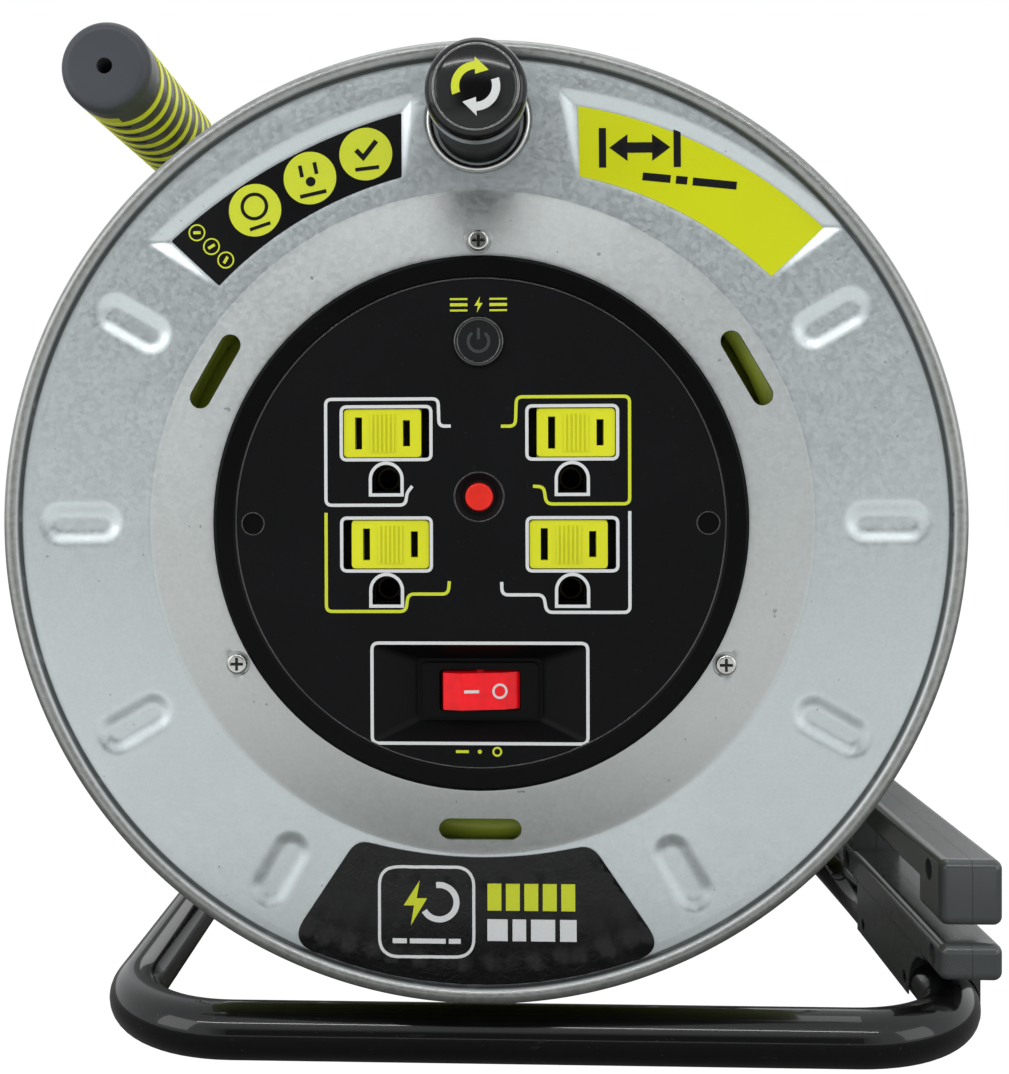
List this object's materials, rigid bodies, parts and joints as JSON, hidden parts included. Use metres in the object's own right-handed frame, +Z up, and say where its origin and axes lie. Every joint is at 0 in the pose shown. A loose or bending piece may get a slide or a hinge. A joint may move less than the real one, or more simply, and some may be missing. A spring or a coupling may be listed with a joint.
{
  "type": "extension cord reel",
  "caption": "Open metal cable reel: pressed drum with a socket panel, winding knob and rocker switch, on a bent-tube stand with a soft grip and a moulded cable guide",
  "frame": {"origin": "on the ground under the middle of the whole reel", "axes": "+Z up, +Y from the socket panel to the back of the stand, +X to the right seen from the front"},
  "size_m": [0.2754, 0.2036, 0.2982],
  "materials": {
    "tube_black": "gloss black powder coat",
    "zinc_sheet": "galvanised sheet with fine spangle",
    "steel_bright": "plain bright steel",
    "panel_black": "fine matt moulded black",
    "insulator": "plain moulded black",
    "bearing_white": "natural nylon",
    "lime_plastic": "lime moulded plastic",
    "lime_cable": "lime cable jacket",
    "grip_grey": "matt grey soft grip",
    "guide_grey": "fine matt grey",
    "rocker_red": "translucent red",
    "reset_red": "orange red",
    "lens_smoke": "dark smoked lens",
    "knob_black": "gloss black",
    "contact_brass": "plain brass",
    "cord_black": "moulded plug black"
  },
  "bodies": {
    "frame": {"frame_tube": "tube_black", "hub_plate": "tube_black", "axle": "steel_bright", "axle_washer": "steel_bright", "axle_clip": "steel_bright", "thrust_washer": "steel_bright", "grip_sleeve": "grip_grey", "grip_rings": "lime_plastic", "grip_end_cap": "grip_grey", "guide_half_left": "guide_grey", "guide_half_right": "guide_grey", "guide_screws": "steel_bright"},
    "drum": {"breaker_body": "insulator", "cable_core": "lime_cable", "cable_gland": "cord_black", "cable_winding": "lime_cable", "drum_core": "zinc_sheet", "faceplate": "panel_black", "flange_screws_front": "steel_bright", "flange_screws_rear": "steel_bright", "front_flange": "zinc_sheet", "ground_contacts": "contact_brass", "hot_contacts": "contact_brass", "hub_bush_front": "bearing_white", "hub_bush_rear": "bearing_white", "hub_housing": "insulator", "hub_rivets": "steel_bright", "indicator_lamp": "bearing_white", "indicator_lens": "lens_smoke", "knob_spindle": "steel_bright", "neutral_contacts": "contact_brass", "outlet_body_lower_left": "insulator", "outlet_body_lower_right": "insulator", "outlet_body_upper_left": "insulator", "outlet_body_upper_right": "insulator", "panel_bezel": "panel_black", "panel_plugs": "panel_black", "panel_screws": "steel_bright", "plug_blades": "contact_brass", "plug_body": "cord_black", "rear_flange": "zinc_sheet", "reset_spring": "steel_bright", "socket_housing": "insulator", "switch_body": "panel_black"},
    "knob": {"knob_grip": "knob_black", "knob_cap": "knob_black"},
    "rocker": {"rocker": "rocker_red"},
    "reset_button": {"reset_button": "reset_red"},
    "shutter_upper_left": {"shutter_upper_left": "lime_plastic"},
    "shutter_upper_right": {"shutter_upper_right": "lime_plastic"},
    "shutter_lower_left": {"shutter_lower_left": "lime_plastic"},
    "shutter_lower_right": {"shutter_lower_right": "lime_plastic"}
  },
  "joints": [
    {"name": "drum_turn", "type": "hinge", "parent": "frame", "child": "drum", "pos_m": [-0.0097, -0.00125, 0.151], "axis": [0, 1, 0], "continuous": true},
    {"name": "knob_turn", "type": "hinge", "parent": "drum", "child": "knob", "pos_m": [-0.0097, -0.08725, 0.25825], "axis": [0, 1, 0], "continuous": true},
    {"name": "rocker_tilt", "type": "hinge", "parent": "drum", "child": "rocker", "pos_m": [-0.0097, -0.06525, 0.1062], "axis": [0, 0, 1], "range_deg": [-18, 0]},
    {"name": "reset_push", "type": "slide", "parent": "drum", "child": "reset_button", "axis": [0, 1, 0], "range_m": [0, 0.0018], "stiffness_N_per_m": 300},
    {"name": "shutter_slide_upper_left", "type": "slide", "parent": "drum", "child": "shutter_upper_left", "axis": [1, 0, 0], "range_m": [0, 0.002]},
    {"name": "shutter_slide_upper_right", "type": "slide", "parent": "drum", "child": "shutter_upper_right", "axis": [1, 0, 0], "range_m": [-0.002, 0]},
    {"name": "shutter_slide_lower_left", "type": "slide", "parent": "drum", "child": "shutter_lower_left", "axis": [1, 0, 0], "range_m": [-0.002, 0]},
    {"name": "shutter_slide_lower_right", "type": "slide", "parent": "drum", "child": "shutter_lower_right", "axis": [1, 0, 0], "range_m": [0, 0.002]}
  ]
}
